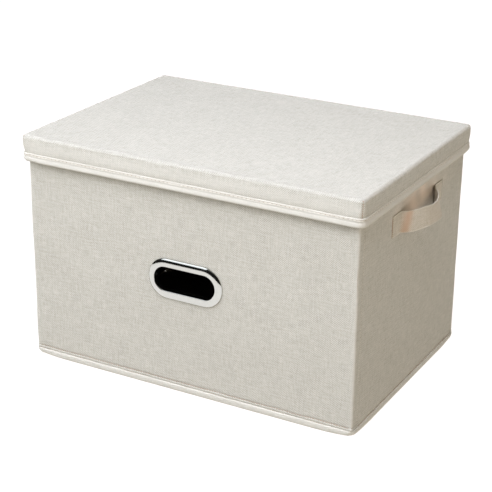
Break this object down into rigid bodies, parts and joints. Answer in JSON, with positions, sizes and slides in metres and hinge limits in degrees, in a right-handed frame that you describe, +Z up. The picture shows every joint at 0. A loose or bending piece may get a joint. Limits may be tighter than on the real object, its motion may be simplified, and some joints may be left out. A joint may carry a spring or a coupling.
{
  "type": "fabric storage bin",
  "caption": "Rectangular collapsible fabric storage bin with an overhanging lift-off lid, a metal-rimmed oval hand hole and fabric strap handles.",
  "frame": {"origin": "on the floor, under the middle of the closed bin", "axes": "+Z up, -Y towards the front with the oval hand hole, +X towards the right side"},
  "size_m": [0.4918, 0.3272, 0.296],
  "materials": {
    "linen": "plain-weave linen look, matte",
    "strap": "heavier cotton strap, matte",
    "binding": "cream binding tape with a row of stitches",
    "lining": "plain non-woven lining, matte",
    "board": "pressed grey board",
    "chrome": "polished"
  },
  "bodies": {
    "front": {"front_outer_fabric": "linen", "front_board": "board", "front_lining": "lining", "front_rim_tape": "binding", "grommet_face_ring": "chrome", "grommet_back_ring": "chrome", "bottom_fabric": "lining", "bottom_binding_front": "binding", "bottom_binding_right": "binding", "bottom_binding_back": "binding", "bottom_binding_left": "binding", "right_corner_gusset": "linen", "left_corner_gusset": "linen"},
    "right_side_front": {"right_front_fabric": "linen", "right_front_board": "board", "right_front_lining": "lining", "right_front_rim_tape": "binding", "right_handle_strap": "strap", "right_handle_front_tab": "strap"},
    "right_side_rear": {"right_rear_fabric": "linen", "right_rear_board": "board", "right_rear_lining": "lining", "right_rear_rim_tape": "binding", "right_handle_rear_tab": "strap"},
    "left_side_front": {"left_front_fabric": "linen", "left_front_board": "board", "left_front_lining": "lining", "left_front_rim_tape": "binding", "left_handle_strap": "strap", "left_handle_front_tab": "strap"},
    "left_side_rear": {"left_rear_fabric": "linen", "left_rear_board": "board", "left_rear_lining": "lining", "left_rear_rim_tape": "binding", "left_handle_rear_tab": "strap"},
    "back": {"back_outer_fabric": "linen", "back_board": "board", "back_lining": "lining", "back_rim_tape": "binding"},
    "base_front_leaf": {"base_front_board": "board", "base_front_cover": "lining"},
    "base_rear_leaf": {"base_rear_board": "board", "base_rear_cover": "lining"},
    "lid": {"lid_top_fabric": "linen", "lid_top_board": "board", "lid_skirt_fabric": "linen", "lid_lining": "lining", "lid_binding": "binding", "lid_skirt_board_front": "board", "lid_skirt_board_back": "board", "lid_skirt_board_right": "board", "lid_skirt_board_left": "board"}
  },
  "joints": [
    {"name": "side_fold", "type": "hinge", "parent": "front", "child": "right_side_front", "pos_m": [0.2197, -0.1451, 0.148], "axis": [0, 0, -1], "range_deg": [-90, 0]},
    {"name": "right_crease", "type": "hinge", "parent": "right_side_front", "child": "right_side_rear", "pos_m": [0.2244, 0.00305, 0.148], "axis": [0, 0, -1], "range_deg": [0, 180], "deforming": ["right_handle_strap"]},
    {"name": "left_fold", "type": "hinge", "parent": "front", "child": "left_side_front", "pos_m": [-0.2197, -0.1451, 0.148], "axis": [0, 0, -1], "range_deg": [0, 90]},
    {"name": "left_crease", "type": "hinge", "parent": "left_side_front", "child": "left_side_rear", "pos_m": [-0.2244, 0.00305, 0.148], "axis": [0, 0, -1], "range_deg": [-180, 0], "deforming": ["left_handle_strap"]},
    {"name": "back_fold", "type": "hinge", "parent": "left_side_rear", "child": "back", "pos_m": [-0.2197, 0.1512, 0.148], "axis": [0, 0, -1], "range_deg": [0, 90], "deforming": ["bottom_fabric", "bottom_binding_right", "bottom_binding_back", "bottom_binding_left"]},
    {"name": "base_fold", "type": "hinge", "parent": "front", "child": "base_front_leaf", "pos_m": [0, -0.1512, 0.0039], "axis": [-1, 0, 0], "range_deg": [-90, 0]},
    {"name": "base_crease", "type": "hinge", "parent": "base_front_leaf", "child": "base_rear_leaf", "pos_m": [0, -0.0001, 0.001], "axis": [-1, 0, 0], "range_deg": [0, 180]},
    {"name": "lid_lift", "type": "slide", "parent": "front", "child": "lid", "axis": [0, 0, 1], "range_m": [0, 0.2]}
  ],
  "couplings": [
    {"joint": "right_crease", "follows": "side_fold", "ratio": -2},
    {"joint": "left_fold", "follows": "side_fold", "ratio": -1},
    {"joint": "left_crease", "follows": "side_fold", "ratio": 2},
    {"joint": "back_fold", "follows": "side_fold", "ratio": -1},
    {"joint": "base_crease", "follows": "base_fold", "ratio": -2}
  ]
}
